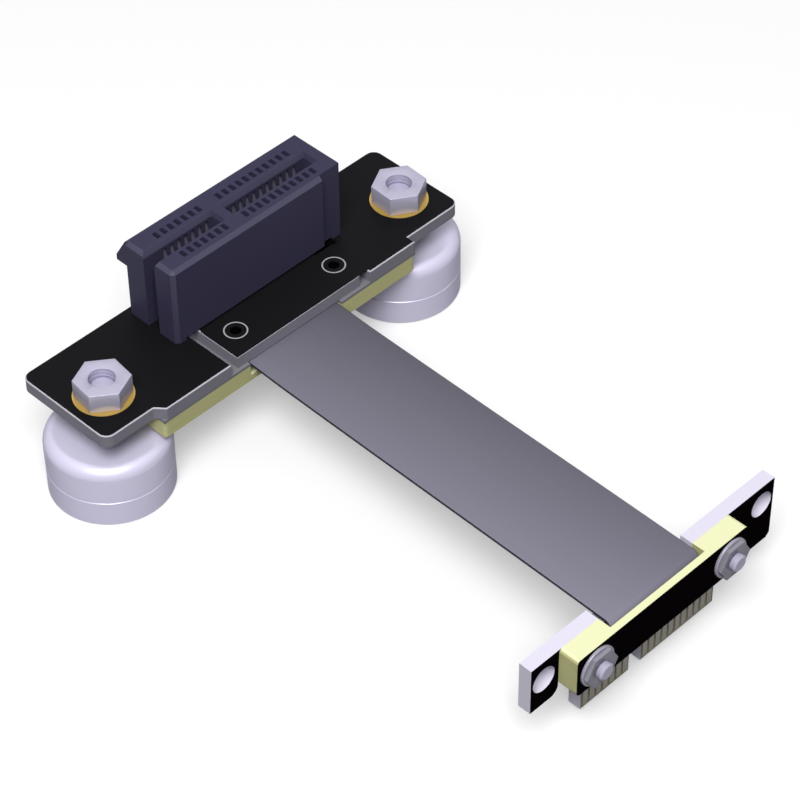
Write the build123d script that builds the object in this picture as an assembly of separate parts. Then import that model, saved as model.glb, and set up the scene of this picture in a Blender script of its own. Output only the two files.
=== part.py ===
"""Short edge-card extension: a one-lane slot on a magnetic foot board, a flat ribbon, and a plug-in tab.

Lengths are in millimetres. X runs along the slot, +Z is up, and the ribbon leaves the slot board towards -Y.
The part stands on its two magnets and on the tip of its tab. The origin is at the middle of the whole
part's footprint, on the surface that it stands on.
"""
import os
from math import hypot

from build123d import *

# Slot housing, along X, with its card slot open at the left end
housing_length = 25.0
housing_width = 7.5
housing_height = 10.2
housing_x = 0.9
rim_bevel = 0.45
slot_width = 1.75
slot_depth = 7.6
slot_mouth_depth = 0.75
slot_mouth_side = 0.38
slot_mouth_end = 0.2
slot_end_wall = 1.45
open_end_slit = 2.0
key_width = 1.55
key_from_middle = -1.92
foot_standoff = 0.35
foot_length = 1.3
end_step_length = 3.0
end_step_depth = 0.55
hook_reach = 1.6
hook_height = 3.4
hook_length = 3.2
hook_lip = 0.75
peg_radius = 1.1
peg_from_end = 1.5
peg_root = 0.5

# Contacts: two rows with the key between their two groups
contact_pitch = 1.0
contacts_before_key = 7
contacts_after_key = 11
key_gap = 3.0
contact_width = 0.44
contact_thickness = 0.2
contact_row = 2.1
contact_touch = 0.55
contact_bend = 0.35
contact_upright = 1.2
contact_knee = 1.8
contact_knee_height = 4.0
contact_touch_height = 6.9
contact_tip = 1.3
contact_tip_clearance = 0.2
tail_below_board = 1.0
cavity_width = 0.56
cavity_outer = 2.62
cavity_web = 1.62
cavity_floor = 1.6
cavity_roof = 1.1
tail_clearance = 0.04
tail_hole_sides = 8

# Slot board, the film over its tongue, and the clamp below it
board_thickness = 1.6
board_length = 53.0
board_back = 4.7
board_front = -9.0
board_lip_front = -10.1
board_edge_bevel = 0.12
lip_from_left_stud = 2.75
lip_from_right_stud = 3.95
board_corner = 1.2
step_fillet = 0.45
tongue_left = -8.45
tongue_right = 9.9
tongue_front = -9.7
tongue_slot_width = 1.25
tongue_slot_under_housing = 0.8
tongue_hole_radius = 0.65
tongue_hole_left = -5.7
tongue_hole_right = 9.1
tongue_hole_y = -6.5
tongue_film = 0.1
tongue_film_right = 11.4
film_gap = 0.15
clamp_film_thickness = 0.35
clamp_thickness = 2.1
clamp_back = 4.0
clamp_pocket_depth = 1.3
clamp_pocket_margin = 0.9
ribbon_side_clearance = 0.12

# Fixing studs with their nuts, pads, spacers and magnets
stud_from_board_end = 4.35
stud_y = -3.7
stud_radius = 1.5
stud_hole_clearance = 0.1
stud_below_nut_top = 1.2
nut_across_flats = 5.5
nut_height = 2.4
nut_turn_left = 9.0
nut_turn_right = 1.0
pad_radius = 3.35
pad_thickness = 0.06
spacer_radius = 2.5
spacer_height = 3.2
pot_radius = 7.0
pot_height = 4.5
pot_shoulder = 1.4
magnet_height = 3.4
magnet_bevel = 0.15
stud_in_pot = 3.0

# Ribbon, flat, between the two boards
ribbon_width = 13.4
ribbon_thickness = 0.35
ribbon_drop = 0.15
ribbon_x_at_slot = -0.2
ribbon_x_at_plug = -2.15
ribbon_inside_clamp = 2.6
ribbon_level_run = 4.5
ribbon_soft_bend = 18.0
ribbon_fold = 0.8
ribbon_rise_run = 6.0
ribbon_rise = 0.35
conductor_count = 26
conductor_from_edge = 0.45
conductor_size = 0.24
conductor_reach = 2.2

# Plug board with its tab, two ears, and the block that holds the ribbon
plug_board_thickness = 1.6
plug_distance = 62.1
plug_top_below_board = 0.25
plug_left = -18.8
plug_right = 17.8
left_ear_width = 4.0
left_ear_height = 6.25
right_ear_width = 5.3
right_ear_height = 8.5
ear_corner = 1.1
ear_bevel = 0.5
ear_hole_radius = 1.55
ear_hole_edge = 0.3
ear_hole_below_screws = 0.1
tab_left = -11.25
tab_before_notch = 7.2
tab_notch = 1.9
tab_after_notch = 11.2
tab_notch_height = 7.0
tab_bevel = 0.6
tab_tip_thickness = 0.8
tab_corner = 0.5
finger_length = 4.6
finger_above_tip = 0.9
finger_width = 0.7
finger_thickness = 0.05
plug_recess_depth = 1.25
recess_side_clearance = 0.35
block_left = -14.8
block_right = 10.7
block_height = 5.05
block_floor = 1.1
spacer_plate = 1.6
cover_plate = 0.9
cover_corner = 0.5

# Screws through the block
screw_inset = 2.75
screw_radius = 1.0
screw_clearance = 0.08
screw_proud = 0.65
screw_head_radius = 1.9
screw_head_height = 0.4
screw_head_edge = 0.15
washer_radius = 2.35
washer_thickness = 0.3
small_nut_across_flats = 4.0
small_nut_height = 0.5

# How far a corner may lie from where it is looked for, how far a cutting tool reaches past what it cuts,
# and how far it overlaps a space that is open already
same_place = 0.01
past = 1.0
overlap = 0.1

# Heights and places worked out from the sizes above, with the slot board's top as zero height
board_bottom = -board_thickness
pot_top = board_bottom - spacer_height
magnet_top = pot_top - pot_height
standing_height = -(magnet_top - magnet_height)
clamp_top = board_bottom - clamp_film_thickness
clamp_bottom = clamp_top - clamp_thickness
pocket_floor = clamp_top - clamp_pocket_depth
stud_spacing = board_length - 2 * stud_from_board_end
board_lip_left = lip_from_left_stud - stud_spacing / 2
board_lip_right = stud_spacing / 2 - lip_from_right_stud
housing_front = -housing_width / 2
key_x = housing_x + key_from_middle
slot_floor = housing_height - slot_depth
plug_top = -plug_top_below_board
plug_face = -plug_distance
plug_rear = plug_face + plug_board_thickness
spacer_face = plug_face - spacer_plate
cover_face = spacer_face - cover_plate
block_bottom = plug_top - block_height
screw_z = plug_top - block_height / 2
tab_tip = -standing_height
tab_width = tab_before_notch + tab_notch + tab_after_notch
tab_right = tab_left + tab_width
nut_outer = cover_face - washer_thickness - small_nut_height
screw_end = nut_outer - screw_proud
back_reach = max(board_back, housing_width / 2 + hook_reach, stud_y + pot_radius)
footprint_middle = (back_reach + screw_end) / 2
to_origin = Location((0, -footprint_middle, standing_height))


def save(node, shape):
    """Put one sub-part in its place above the origin and write it."""
    placed = to_origin * shape
    export_step(placed, f"parts/{node}.step")
    print(node, round(placed.volume, 2))


def box_between(low, high):
    """A block from its lowest to its highest corner."""
    size = [b - a for a, b in zip(low, high)]
    return Pos(*low) * Box(*size, align=(Align.MIN, Align.MIN, Align.MIN))


def disc(radius, z_low, z_high, x=0.0, y=0.0):
    """An upright cylinder."""
    return Pos(x, y, z_low) * Cylinder(radius, z_high - z_low, align=(Align.CENTER, Align.CENTER, Align.MIN))


def bar_along_y(radius, y_low, y_high, x, z):
    """A cylinder along Y."""
    return Pos(x, y_high, z) * Rot(90, 0, 0) * Cylinder(
        radius, y_high - y_low, align=(Align.CENTER, Align.CENTER, Align.MIN))


def strip_along(path, thickness, width):
    """A strip of even thickness that follows a path drawn in Y and Z, centred on X."""
    return Pos(-width / 2, 0, 0) * extrude(Plane.YZ * trace(path, thickness), width)


def places_beside_key(key):
    """X of each contact or finger, seven to the left of a key or notch and eleven to its right."""
    left = [key - key_gap / 2 - i * contact_pitch for i in range(contacts_before_key)]
    right = [key + key_gap / 2 + i * contact_pitch for i in range(contacts_after_key)]
    return sorted(left) + right


def contact_places():
    """X of each contact in a row of the slot."""
    return places_beside_key(key_x)


def slot_sections():
    """Low and high X of the two stretches of the card slot, the first of them open at its end."""
    left_end = housing_x - housing_length / 2
    right_end = housing_x + housing_length / 2 - slot_end_wall
    return [(left_end - past, key_x - key_width / 2), (key_x + key_width / 2, right_end)]


def lead_in(x_low, x_high):
    """The sloped mouth of one stretch of the slot."""
    middle = (x_low + x_high) / 2
    length = x_high - x_low
    wide = Rectangle(length + 2 * slot_mouth_end, slot_width + 2 * slot_mouth_side)
    narrow = Rectangle(length, slot_width)
    return loft([Pos(middle, 0, housing_height - slot_mouth_depth) * narrow,
                 Pos(middle, 0, housing_height) * wide])


def cavity():
    """Room for one contact: a shaft joined to the slot below a bridge, and a hole that grips the tail."""
    half = cavity_width / 2
    tail_half, tail_depth = contact_width / 2, contact_thickness / 2
    shaft = box_between((-half, cavity_web, cavity_floor), (half, cavity_outer, housing_height + past))
    window = box_between((-half, slot_width / 2 - overlap, cavity_floor),
                         (half, cavity_web + overlap, housing_height - cavity_roof))
    tail = box_between((-tail_half, contact_row - tail_depth, -past),
                       (tail_half, contact_row + tail_depth, cavity_floor + past))
    return shaft + window + tail


def housing():
    """Moulded slot housing: a walled block with key, mouth, cavities, feet, hook and two pegs."""
    half = housing_width / 2
    left = housing_x - housing_length / 2
    right = housing_x + housing_length / 2
    body = box_between((left, -half, 0), (right, half, housing_height))
    front_rim = body.edges().filter_by(Axis.X).group_by(Axis.Z)[-1].sort_by(Axis.Y)[0]
    left_rim = body.edges().filter_by(Axis.Y).group_by(Axis.Z)[-1].sort_by(Axis.X)[0]
    corner = body.edges().filter_by(Axis.Z).group_by(Axis.Y)[0].sort_by(Axis.X)[0]
    body = chamfer([front_rim, left_rim, corner], rim_bevel)

    # The front wall steps back beside the closed end
    body -= box_between((right - end_step_length, -half - past, -past),
                        (right + past, -half + end_step_depth, housing_height + past))

    # A snap hook on the back wall: sloped above, flat below
    hook_top = housing_height
    hook_foot = hook_top - hook_height
    with BuildSketch(Plane.YZ) as hook_side:
        Polygon((half, hook_top), (half + hook_reach, hook_foot + hook_lip),
                (half + hook_reach, hook_foot), (half, hook_foot), align=None)
    body += Pos(left, 0, 0) * extrude(hook_side.sketch, hook_length)

    for x_low, x_high in slot_sections():
        body -= box_between((x_low, -slot_width / 2, slot_floor),
                            (x_high, slot_width / 2, housing_height + past))
        body -= lead_in(x_low, x_high)

    # At its open end the slot goes down to the board
    body -= box_between((left - past, -slot_width / 2, -past),
                        (left + open_end_slit, slot_width / 2, slot_floor + overlap))

    body -= [Pos(x, 0, 0) * Rot(0, 0, turn) * cavity() for x in contact_places() for turn in (0, 180)]

    # The underside stands off the board on a foot at each end
    body -= box_between((left + foot_length, -half - past, -past),
                        (right - foot_length, half + past, foot_standoff))
    for x in peg_places():
        body += disc(peg_radius, board_bottom, foot_standoff + peg_root, x)
    return body


def peg_places():
    """X of the two pegs: below the key and near the closed end."""
    return [key_x, housing_x + housing_length / 2 - peg_from_end]


def contact(side):
    """One sprung contact seen along X: tail, upright, a bow into the slot and a tip curled back."""
    points = [
        (contact_row, board_bottom - tail_below_board),
        (contact_row, cavity_floor + contact_upright),
        (contact_knee, contact_knee_height),
        (contact_touch, contact_touch_height),
        (contact_tip, housing_height - cavity_roof - contact_tip_clearance),
    ]
    path = FilletPolyline(*[(side * y, z) for y, z in points], radius=contact_bend)
    return strip_along(path, contact_thickness, contact_width)


def contact_row_of(side):
    """All the contacts of one row."""
    one = contact(side)
    return Compound(children=[Pos(x, 0, 0) * one for x in contact_places()])


def stud_places():
    return [(-stud_spacing / 2, stud_y), (stud_spacing / 2, stud_y)]


def board_outline():
    """The slot board seen from above: a lip at the front edge with a tongue between two slots."""
    half = board_length / 2
    with BuildSketch() as outline:
        with BuildLine():
            Polyline((-half, board_back), (half, board_back), (half, board_front),
                     (board_lip_right, board_front), (board_lip_right, board_lip_front),
                     (board_lip_left + step_fillet, board_lip_front),
                     (board_lip_left - step_fillet, board_front),
                     (-half, board_front), close=True)
        make_face()
        ends = outline.vertices().group_by(Axis.X)
        fillet(ends[0] + ends[-1], board_corner)
        step = outline.vertices().filter_by(lambda v: abs(v.X - board_lip_left) < 2 * step_fillet)
        fillet(step, step_fillet)
    return outline.sketch


def tongue_cuts(z_low, z_high):
    """The two slots beside the tongue, and the strip taken off its front edge."""
    slot_back = housing_front + tongue_slot_under_housing
    before = board_lip_front - past
    left = box_between((tongue_left - tongue_slot_width, before, z_low), (tongue_left, slot_back, z_high))
    right = box_between((tongue_right, before, z_low), (tongue_right + tongue_slot_width, slot_back, z_high))
    nose = box_between((tongue_left - overlap, before, z_low), (tongue_right + overlap, tongue_front, z_high))
    return left + right + nose


def slot_board():
    """Printed board below the slot, with holes for the studs, the contact tails and the pegs."""
    board = Pos(0, 0, board_bottom) * extrude(board_outline(), board_thickness)
    board -= tongue_cuts(board_bottom - past, past)
    board = chamfer(board.edges().group_by(Axis.Z)[-1], board_edge_bevel)
    for x, y in stud_places():
        board -= disc(stud_radius + stud_hole_clearance, board_bottom - past, past, x, y)
    for x in (tongue_hole_left, tongue_hole_right):
        board -= disc(tongue_hole_radius, board_bottom - past, past, x, tongue_hole_y)
    for x in peg_places():
        board -= disc(peg_radius + tail_clearance, board_bottom - past, past, x)
    tail_radius = hypot(contact_width, contact_thickness) / 2 + tail_clearance
    tail_hole = Pos(0, 0, board_bottom - past) * extrude(
        RegularPolygon(tail_radius, tail_hole_sides, major_radius=False), board_thickness + 2 * past)
    return board - [Pos(x, side * contact_row) * tail_hole for x in contact_places() for side in (-1, 1)]


def tongue_cover():
    """Thin black film on the tongue, which also bridges the slot on its right."""
    film = box_between((tongue_left, tongue_front, 0),
                       (tongue_film_right, housing_front - film_gap, tongue_film))
    for x in (tongue_hole_left, tongue_hole_right):
        film -= disc(tongue_hole_radius, -past, past, x, tongue_hole_y)
    return film


def clamp_pocket(z_low, z_high):
    """The space in the clamp for the ribbon and for the contact tails."""
    half = ribbon_width / 2 + ribbon_side_clearance
    skew = abs(ribbon_slope()) * (housing_front - board_lip_front) / 2
    ribbon_way = box_between((ribbon_x_at_slot - half, board_lip_front - past, z_low),
                             (ribbon_x_at_slot + half + skew, 0, z_high))
    places = contact_places()
    margin = clamp_pocket_margin
    tails_end = peg_places()[1] + peg_radius
    tails = box_between((places[0] - margin, -contact_row - margin, z_low),
                        (tails_end + margin, contact_row + margin, z_high))
    return ribbon_way + tails


def clamp_outline():
    return Pos((board_lip_left + board_lip_right) / 2, (board_lip_front + clamp_back) / 2) * Rectangle(
        board_lip_right - board_lip_left, clamp_back - board_lip_front)


def clamp_film():
    """Insulating sheet between the board and its clamp, open where the pocket is."""
    sheet = Pos(0, 0, clamp_top) * extrude(clamp_outline(), clamp_film_thickness)
    return sheet - clamp_pocket(clamp_top - past, board_bottom + past)


def clamp():
    """Laminate plate under the front of the board, with a pocket for ribbon and tails."""
    plate = Pos(0, 0, clamp_bottom) * extrude(clamp_outline(), clamp_thickness)
    plate = fillet(plate.edges().filter_by(Axis.Z), step_fillet)
    return plate - clamp_pocket(pocket_floor, clamp_top + past)


def pad(x, y):
    """Gilt ring on the board round a stud's hole."""
    inner = stud_radius + stud_hole_clearance
    return disc(pad_radius, 0, pad_thickness, x, y) - disc(inner, -past, past, x, y)


def nut(x, y, turn):
    """Plain hexagon nut with sharp corners."""
    prism = extrude(RegularPolygon(nut_across_flats / 2, 6, major_radius=False), nut_height)
    bored = prism - disc(stud_radius, -past, nut_height + past)
    return Pos(x, y, pad_thickness) * Rot(0, 0, turn) * bored


def stud(x, y):
    """Threaded stud from inside the magnet's cup up into the nut."""
    top = pad_thickness + nut_height - stud_below_nut_top
    return disc(stud_radius, pot_top - stud_in_pot, top, x, y)


def ring_spacer(x, y):
    """Turned spacer between the cup and the board."""
    bore = disc(stud_radius, pot_top - past, board_bottom + past, x, y)
    return disc(spacer_radius, pot_top, board_bottom, x, y) - bore


def pot(x, y):
    """Steel cup over the magnet, with a full round shoulder."""
    cup = disc(pot_radius, magnet_top, pot_top)
    cup = fillet(cup.edges().group_by(Axis.Z)[-1], pot_shoulder)
    cup -= disc(stud_radius, pot_top - stud_in_pot, pot_top + past)
    return Pos(x, y, 0) * cup


def magnet(x, y):
    """Disc magnet that closes the cup and is what the part stands on."""
    low = magnet_top - magnet_height
    return Pos(x, y, 0) * chamfer(disc(pot_radius, low, magnet_top).edges(), magnet_bevel)


def ribbon_slope():
    """X that the ribbon gains for each millimetre towards the plug."""
    return (ribbon_x_at_plug - ribbon_x_at_slot) / (board_lip_front - plug_face)


def ribbon_x(y):
    """X of the ribbon's middle at a place along its run."""
    return ribbon_x_at_slot + ribbon_slope() * (board_lip_front - y)


def ribbon_line():
    """The ribbon's middle line seen along X: level, up a little, then folded down into the block."""
    half = ribbon_thickness / 2
    start = board_lip_front + ribbon_inside_clamp
    slot_level = board_bottom - ribbon_drop - half
    plug_level = plug_top - half
    drop_y = spacer_face + half + ribbon_side_clearance
    lower_end = block_bottom + block_floor + conductor_size
    return [
        (start, slot_level),
        (board_lip_front - ribbon_level_run, slot_level),
        (plug_rear + ribbon_rise_run, plug_level - ribbon_rise),
        (drop_y, plug_level),
        (drop_y, lower_end),
    ]


def ribbon():
    """Flat ribbon of bonded wires, one strip of even thickness."""
    bends = [ribbon_soft_bend, ribbon_soft_bend, ribbon_fold]
    line = FilletPolyline(*ribbon_line(), radius=bends)
    slab = strip_along(line, ribbon_thickness, board_length)
    near, far = ribbon_line()[0][0], spacer_face
    half = ribbon_width / 2
    plan = Polygon((ribbon_x(far) - half, far), (ribbon_x(far) + half, far),
                   (ribbon_x(near) + half, near), (ribbon_x(near) - half, near), align=None)
    return slab & (Pos(0, 0, -standing_height) * extrude(plan, 2 * standing_height))


def conductor_offsets():
    """X of each wire from the ribbon's middle, spread evenly over the ribbon's width."""
    reach = ribbon_width / 2 - conductor_from_edge
    pitch = 2 * reach / (conductor_count - 1)
    return [i * pitch - reach for i in range(conductor_count)]


def slot_conductors():
    """Bared wire ends from the ribbon to the pads under the slot board."""
    start = ribbon_line()[0][0]
    wires = []
    for offset in conductor_offsets():
        x = ribbon_x(start) + offset
        wires.append(box_between((x - conductor_size / 2, start, board_bottom - ribbon_drop - conductor_size),
                                 (x + conductor_size / 2, start + conductor_reach, board_bottom)))
    return Compound(children=wires)


def plug_conductors():
    """Bared wire ends from the ribbon's lower edge back to the plug board."""
    drop_y, low = ribbon_line()[-1]
    wires = []
    for offset in conductor_offsets():
        x = ribbon_x(drop_y) + offset
        wires.append(box_between((x - conductor_size / 2, drop_y - conductor_size / 2, low - conductor_size),
                                 (x + conductor_size / 2, plug_face, low)))
    return Compound(children=wires)


def recess_x():
    """Low and high X of the ribbon's way through the plug board and the spacer."""
    half = ribbon_width / 2 + recess_side_clearance
    return ribbon_x_at_plug - half, ribbon_x_at_plug + half


def corner_at(outline, x, z):
    """The corner of a drawn outline at one place."""
    return outline.vertices().filter_by(lambda v: hypot(v.X - x, v.Y - z) < same_place)


def plug_outline():
    """Plug board seen from the front: two ears, the tab with its notch, and the ribbon's recess."""
    left_ear, right_ear = plug_left + left_ear_width, plug_right - right_ear_width
    shoulder = block_bottom + block_floor
    notch = tab_left + tab_before_notch
    low, high = recess_x()
    with BuildSketch(Plane.XZ) as outline:
        with BuildLine():
            Polyline((plug_left, plug_top), (low, plug_top), (low, plug_top - plug_recess_depth),
                     (high, plug_top - plug_recess_depth), (high, plug_top), (plug_right, plug_top),
                     (plug_right, plug_top - right_ear_height), (right_ear, plug_top - right_ear_height),
                     (right_ear, shoulder), (tab_right, shoulder), (tab_right, tab_tip),
                     (notch + tab_notch, tab_tip), (notch + tab_notch, tab_tip + tab_notch_height),
                     (notch, tab_tip + tab_notch_height), (notch, tab_tip), (tab_left, tab_tip),
                     (tab_left, shoulder), (left_ear, shoulder), (left_ear, plug_top - left_ear_height),
                     (plug_left, plug_top - left_ear_height), close=True)
        make_face()
        for x in (tab_left, notch, notch + tab_notch, tab_right):
            chamfer(corner_at(outline, x, tab_tip), tab_corner)
        chamfer(corner_at(outline, plug_right, plug_top - right_ear_height), ear_bevel)
        fillet(corner_at(outline, left_ear, plug_top - left_ear_height), ear_corner)
    return outline.sketch


def ear_holes():
    """X of the two ear holes and the height that they share."""
    inset = ear_hole_radius + ear_hole_edge
    return plug_left + inset, plug_right - inset, screw_z - ear_hole_below_screws


def plug_board():
    """Printed board of the plug, its tab bevelled on both faces at the tip."""
    board = Pos(0, plug_face, 0) * extrude(plug_outline(), -plug_board_thickness)
    left_hole, right_hole, hole_z = ear_holes()
    for x in (left_hole, right_hole):
        board -= bar_along_y(ear_hole_radius, plug_face - past, plug_rear + past, x, hole_z)
    for x in screw_places():
        board -= bar_along_y(screw_radius + screw_clearance, plug_face - past, plug_rear + past, x, screw_z)
    cut = (plug_board_thickness - tab_tip_thickness) / 2
    for face, inward in ((plug_face, 1), (plug_rear, -1)):
        outside = face - inward * past
        with BuildSketch(Plane.YZ) as wedge:
            Polygon((outside, tab_tip), (face + inward * cut, tab_tip), (face, tab_tip + tab_bevel),
                    (outside, tab_tip + tab_bevel), align=None)
        board -= Pos(tab_left - past, 0, 0) * extrude(wedge.sketch, tab_width + 2 * past)
    return board


def fingers(face, outward):
    """Plated fingers on one face of the tab."""
    low = tab_tip + finger_above_tip
    y_low, y_high = sorted((face, face + outward * finger_thickness))
    return Compound(children=[
        box_between((x - finger_width / 2, y_low, low), (x + finger_width / 2, y_high, low + finger_length))
        for x in places_beside_key(tab_left + tab_before_notch + tab_notch / 2)])


def block_plate(face, thickness, corner):
    """A rectangular plate of the block, from its front face back."""
    plate = box_between((block_left, face, block_bottom), (block_right, face + thickness, plug_top))
    if corner > 0:
        plate = fillet(plate.edges().filter_by(Axis.Y), corner)
    for x in screw_places():
        plate -= bar_along_y(screw_radius + screw_clearance, face - past, face + thickness + past, x, screw_z)
    return plate


def spacer():
    """Plate between plug board and cover, open at the top for the folded ribbon."""
    low, high = recess_x()
    way = box_between((low, spacer_face - past, block_bottom + block_floor),
                      (high, plug_face + past, plug_top + past))
    return block_plate(spacer_face, spacer_plate, cover_corner) - way


def screw_places():
    return block_left + screw_inset, block_right - screw_inset


def screw(x):
    """Flat-headed screw from behind the plug board to past the nut."""
    head = bar_along_y(screw_head_radius, plug_rear, plug_rear + screw_head_height, x, screw_z)
    head = chamfer(head.edges().group_by(Axis.Y)[-1], screw_head_edge)
    return bar_along_y(screw_radius, screw_end, plug_rear, x, screw_z) + head


def washer(x):
    face = cover_face - washer_thickness
    ring = bar_along_y(washer_radius, face, cover_face, x, screw_z)
    return ring - bar_along_y(screw_radius, face - past, cover_face + past, x, screw_z)


def small_nut(x):
    """Thin hexagon nut on the washer."""
    hexagon = RegularPolygon(small_nut_across_flats / 2, 6, major_radius=False)
    blank = Pos(x, nut_outer + small_nut_height, screw_z) * Rot(90, 0, 0) * extrude(hexagon, small_nut_height)
    return blank - bar_along_y(screw_radius, nut_outer - past, cover_face + past, x, screw_z)


def main():
    os.makedirs("parts", exist_ok=True)
    save("slot_housing", housing())
    save("slot_contacts_front", contact_row_of(-1))
    save("slot_contacts_rear", contact_row_of(1))
    save("slot_board", slot_board())
    save("tongue_film", tongue_cover())
    save("clamp_film", clamp_film())
    save("clamp_plate", clamp())
    for side, (x, y), turn in zip(("left", "right"), stud_places(), (nut_turn_left, nut_turn_right)):
        save(f"{side}_pad", pad(x, y))
        save(f"{side}_nut", nut(x, y, turn))
        save(f"{side}_stud", stud(x, y))
        save(f"{side}_spacer", ring_spacer(x, y))
        save(f"{side}_magnet_cup", pot(x, y))
        save(f"{side}_magnet", magnet(x, y))
    save("ribbon_cable", ribbon())
    save("ribbon_wires_slot_end", slot_conductors())
    save("ribbon_wires_plug_end", plug_conductors())
    save("plug_board", plug_board())
    save("tab_fingers_front", fingers(plug_face, -1))
    save("tab_fingers_rear", fingers(plug_rear, 1))
    save("plug_spacer", spacer())
    save("plug_cover", block_plate(cover_face, cover_plate, cover_corner))
    for side, x in zip(("left", "right"), screw_places()):
        save(f"{side}_screw", screw(x))
        save(f"{side}_washer", washer(x))
        save(f"{side}_screw_nut", small_nut(x))


main()
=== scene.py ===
# %% [markdown]
# # A short edge-card extension
#
# The object is a one-lane card slot on a black board that stands on two disc magnets. A flat grey
# ribbon joins it to a small plug-in tab with two ears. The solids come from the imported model, which is
# the fixed frame of this lesson. Here they get their finishes, and the pieces whose look depends on a
# true curve are worked out again as surfaces: the magnets, the fasteners and the ribbon.

import bpy
import numpy as np
from mathutils import Matrix, Vector


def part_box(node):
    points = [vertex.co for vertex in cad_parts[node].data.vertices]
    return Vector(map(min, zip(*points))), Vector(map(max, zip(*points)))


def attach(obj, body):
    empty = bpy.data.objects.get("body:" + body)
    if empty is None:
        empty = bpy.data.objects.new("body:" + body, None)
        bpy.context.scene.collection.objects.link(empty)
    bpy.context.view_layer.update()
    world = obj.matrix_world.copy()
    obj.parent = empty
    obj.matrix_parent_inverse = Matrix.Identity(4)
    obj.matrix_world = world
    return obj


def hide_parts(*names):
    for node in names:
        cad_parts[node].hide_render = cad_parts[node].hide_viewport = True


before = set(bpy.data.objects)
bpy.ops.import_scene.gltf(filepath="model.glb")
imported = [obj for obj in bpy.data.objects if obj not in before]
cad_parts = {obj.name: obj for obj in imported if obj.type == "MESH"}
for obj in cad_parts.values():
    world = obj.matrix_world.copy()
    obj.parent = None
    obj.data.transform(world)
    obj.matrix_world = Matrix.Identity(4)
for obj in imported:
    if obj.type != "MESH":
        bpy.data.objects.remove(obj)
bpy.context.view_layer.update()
MM = 0.001
print("nodes in the frame:", len(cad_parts))

# %% [markdown]
# ## Helpers for finishes
#
# Colours are easiest to write as the hex values that a paint program shows, but shaders work in linear
# light, so one function turns the one into the other. The second adds a node, sets what it is given and
# links any socket among its inputs. The third starts a material. Every finish below is built with these.


# %% Colours and nodes
def from_hex(code):
    """sRGB hex to linear RGBA: v/12.92 up to 0.04045, otherwise ((v + 0.055)/1.055) to the power 2.4."""
    values = np.array([int(code[i:i + 2], 16) for i in (1, 3, 5)]) / 255
    linear = np.where(values <= 0.04045, values / 12.92, ((values + 0.055) / 1.055) ** 2.4)
    return (*linear.tolist(), 1.0)


def add_node(tree, kind, inputs=None, **settings):
    """Add one node; an input that is a socket is linked, and any other value is set."""
    node = tree.nodes.new(kind)
    for name, value in settings.items():
        setattr(node, name, value)
    for name, value in (inputs or {}).items():
        if isinstance(value, bpy.types.NodeSocket):
            tree.links.new(value, node.inputs[name])
        else:
            node.inputs[name].default_value = value
    return node


def new_finish(name, **sockets):
    """A material with a Principled shader whose own sockets take the plain values."""
    material = bpy.data.materials.new(name)
    material.use_nodes = True
    shader = material.node_tree.nodes["Principled BSDF"]
    for socket, value in sockets.items():
        shader.inputs[socket.replace("_", " ")].default_value = value
    return material, material.node_tree, shader


print("linear mid grey:", round(from_hex("#808080")[0], 3))

# %% [markdown]
# ## Helpers for surfaces
#
# A turned piece is one profile carried round an axis, and a drawn piece is one section carried along a
# path. Both are a grid of points in two directions, so one function makes the mesh from the grid. A
# profile that begins and ends on the axis closes in a single point there, and any other profile is a
# closed loop, as a washer's is. The plug's fasteners lie along Y, so their points are turned to the front.


# %% Grids of points into meshes
def piece_from(name, points, quads, finish, crease=35.0):
    """A mesh object from arrays of points and faces, smooth except where faces meet at over the crease."""
    mesh = bpy.data.meshes.new(name)
    mesh.from_pydata(points.tolist(), [], quads)
    mesh.materials.append(finish)
    mesh.validate()
    mesh.shade_smooth()
    mesh.set_sharp_from_angle(angle=np.radians(crease))
    piece = bpy.data.objects.new(name, mesh)
    bpy.context.scene.collection.objects.link(piece)
    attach(piece, "root")
    return piece


def grid_faces(rows, columns, wrap_rows=False, wrap_columns=False):
    """Corner indices of the cells of a grid, point (i, j) being i times the columns plus j."""
    i = np.arange(rows if wrap_rows else rows - 1)[:, None]
    j = np.arange(columns if wrap_columns else columns - 1)[None, :]
    next_i, next_j = (i + 1) % rows, (j + 1) % columns
    cells = np.stack([i * columns + j + 0 * next_j, next_i * columns + j, next_i * columns + next_j,
                      i * columns + next_j], axis=-1)
    return cells.reshape(-1, 4).tolist()


def around_axis(radii, heights, angle):
    """Point (i, j) = (r cos a, r sin a, h), with a row for each height and a column for each angle."""
    return np.stack([radii * np.cos(angle), radii * np.sin(angle),
                     np.repeat(heights[:, None], len(angle), axis=1)], axis=-1).reshape(-1, 3)


def to_front(points):
    """Turn a piece that points up so that it points to the front: (x, y, z) becomes (x, -z, y)."""
    return points[:, [0, 2, 1]] * (1, -1, 1)


def turned(name, profile, centre, finish, around=128, front=False):
    """A profile of (radius, height) pairs, from the top down its outside, carried round an axis.

    Point = centre + (r cos a, r sin a, h), turned to the front where that is asked.
    """
    capped = profile[0][0] == 0
    r, h = np.array(profile[1:-1] if capped else profile).T
    points = around_axis(r[:, None], h, np.linspace(0, 2 * np.pi, around, endpoint=False))
    faces = grid_faces(len(r), around, wrap_rows=not capped, wrap_columns=True)
    if capped:
        top, bottom, last = len(points), len(points) + 1, (len(r) - 1) * around
        points = np.vstack([points, [(0, 0, profile[0][1]), (0, 0, profile[-1][1])]])
        faces += [[top, j, (j + 1) % around] for j in range(around)]
        faces += [[bottom, last + (j + 1) % around, last + j] for j in range(around)]
    points = to_front(points) if front else points
    return piece_from(name, points + np.array(centre), faces, finish)


def arc(middle, radius, start, end, steps):
    """Points of a circle's arc in the plane of the profile, angles in degrees."""
    angle = np.radians(np.linspace(start, end, steps))
    return list(zip(middle[0] + radius * np.cos(angle), middle[1] + radius * np.sin(angle)))


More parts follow.
